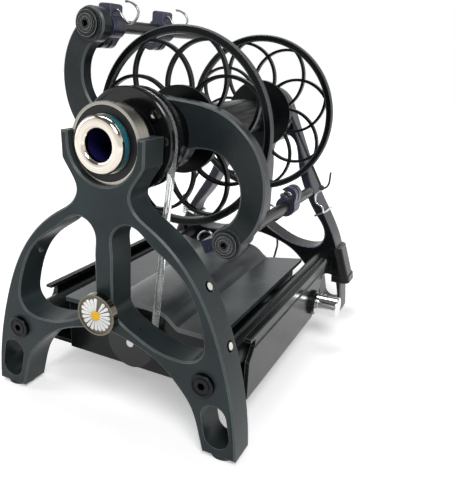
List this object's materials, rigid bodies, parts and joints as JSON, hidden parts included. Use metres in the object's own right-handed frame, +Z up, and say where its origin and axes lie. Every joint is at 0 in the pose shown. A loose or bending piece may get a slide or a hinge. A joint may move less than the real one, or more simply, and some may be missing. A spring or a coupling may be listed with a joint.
{
  "type": "electric yarn spinner",
  "caption": "Portable electric yarn spinner: black arched frames joined by bars, motor base, orifice and belt-driven flyer with sliding hooks round a lace-disc bobbin.",
  "frame": {"origin": "on the flyer's axis, in the plane of the front frame's front face, inside the orifice", "axes": "+X to the spinner's right as seen from its front, +Y from the orifice back along the flyer's axis, +Z up"},
  "size_m": [0.1816, 0.2465, 0.2338],
  "materials": {
    "frame_black": "satin black with fine bright edges",
    "bar_black": "black anodised, satin",
    "black_screw": "blackened",
    "foot_rubber": "matte",
    "silver_pin": "bright",
    "sleeve_black": "satin black",
    "bearing_steel": "warm brushed",
    "seal_black": "matte",
    "orifice_chrome": "polished",
    "spacer_teal": "gloss teal",
    "tube_black": "black anodised",
    "whorl_black": "gloss",
    "flyer_black": "satin black",
    "arm_olive": "dark olive grey, satin",
    "shaft_steel": "ground",
    "bobbin_black": "satin black",
    "bronze": "sintered",
    "hook_grey": "slate grey with a purple cast",
    "hook_wire": "bright",
    "cord_black": "braided",
    "lead_black": "satin",
    "tray_grey": "satin dark grey",
    "lid_grey": "satin grey",
    "motor_steel": "plated",
    "belt_clear": "clear",
    "board_green": "solder mask",
    "board_black": "satin",
    "switch_steel": "plated",
    "knob_aluminium": "polished, turned",
    "badge_chrome": "dark chrome",
    "badge_grey": "enamel",
    "petal_white": "enamel",
    "petal_yellow": "enamel"
  },
  "bodies": {
    "stand": {"front_frame": "frame_black", "rear_frame": "frame_black", "tie_bars": "bar_black", "knob_collar": "bar_black", "tie_screws": "black_screw", "rubber_feet": "foot_rubber", "edge_pins": "silver_pin", "base_screws": "silver_pin", "leg_sleeves": "sleeve_black", "front_bearing_outer": "bearing_steel", "rear_bearing_outer": "bearing_steel", "front_bearing_seals": "seal_black", "rear_bearing_seals": "seal_black", "brake_hook": "hook_wire", "brake_bands": "hook_wire", "brake_cord": "cord_black", "rear_lead": "lead_black", "base_tray": "tray_grey", "base_lid": "lid_grey", "motor_can": "motor_steel", "drive_belt": "belt_clear", "circuit_board": "board_green", "board_parts": "board_black", "panel_jacks": "board_black", "speed_pot": "board_black", "toggle_body": "switch_steel", "badge_bezel": "badge_chrome", "badge_ground": "badge_grey", "badge_petals": "petal_white", "badge_centre": "petal_yellow"},
    "flyer": {"front_bearing_inner": "bearing_steel", "rear_bearing_inner": "bearing_steel", "orifice_ring": "orifice_chrome", "teal_spacer": "spacer_teal", "orifice_tube": "tube_black", "tube_end": "tube_black", "whorl": "whorl_black", "whorl_screws": "silver_pin", "hub_sleeves": "flyer_black", "flyer_yoke": "flyer_black", "flyer_arms": "arm_olive", "arm_caps": "flyer_black", "flyer_shaft": "shaft_steel"},
    "bobbin": {"bobbin_front_disc": "bobbin_black", "bobbin_rear_disc": "bobbin_black", "bobbin_core": "bobbin_black", "brake_pulley": "bobbin_black", "bobbin_bushes": "bronze"},
    "motor_rotor": {"motor_shaft": "shaft_steel", "motor_pulley": "whorl_black"},
    "knob": {"speed_knob": "knob_aluminium"},
    "toggle": {"toggle_lever": "switch_steel"},
    "hook_1": {"hook_1_block": "hook_grey", "hook_1_wire": "hook_wire"},
    "hook_2": {"hook_2_block": "hook_grey", "hook_2_wire": "hook_wire"},
    "hook_3": {"hook_3_block": "hook_grey", "hook_3_wire": "hook_wire"},
    "hook_4": {"hook_4_block": "hook_grey", "hook_4_wire": "hook_wire"}
  },
  "joints": [
    {"name": "flyer_spin", "type": "hinge", "parent": "stand", "child": "flyer", "pos_m": [0, 0.03, 0], "axis": [0, 1, 0], "continuous": true},
    {"name": "bobbin_spin", "type": "hinge", "parent": "flyer", "child": "bobbin", "pos_m": [0, 0.143, 0], "axis": [0, 1, 0], "continuous": true},
    {"name": "motor_spin", "type": "hinge", "parent": "stand", "child": "motor_rotor", "pos_m": [0, 0.0285, -0.1223], "axis": [0, 1, 0], "continuous": true},
    {"name": "speed_knob_turn", "type": "hinge", "parent": "stand", "child": "knob", "pos_m": [0.08, 0.1575, -0.1297], "axis": [1, 0, 0], "range_deg": [0, 300]},
    {"name": "direction_toggle_tilt", "type": "hinge", "parent": "stand", "child": "toggle", "pos_m": [-0.024, 0.167, -0.1263], "axis": [0, 0, 1], "range_deg": [-12, 12]},
    {"name": "hook_1_slide", "type": "slide", "parent": "flyer", "child": "hook_1", "axis": [0, 1, 0], "range_m": [-0.004, 0.026]},
    {"name": "hook_2_slide", "type": "slide", "parent": "flyer", "child": "hook_2", "axis": [0, 1, 0], "range_m": [-0.02, 0.068]},
    {"name": "hook_3_slide", "type": "slide", "parent": "flyer", "child": "hook_3", "axis": [0, 1, 0], "range_m": [-0.0019, 0.035]},
    {"name": "hook_4_slide", "type": "slide", "parent": "flyer", "child": "hook_4", "axis": [0, 1, 0], "range_m": [-0.04, 0.042]}
  ],
  "couplings": [
    {"joint": "motor_spin", "follows": "flyer_spin", "ratio": 1.8741}
  ]
}
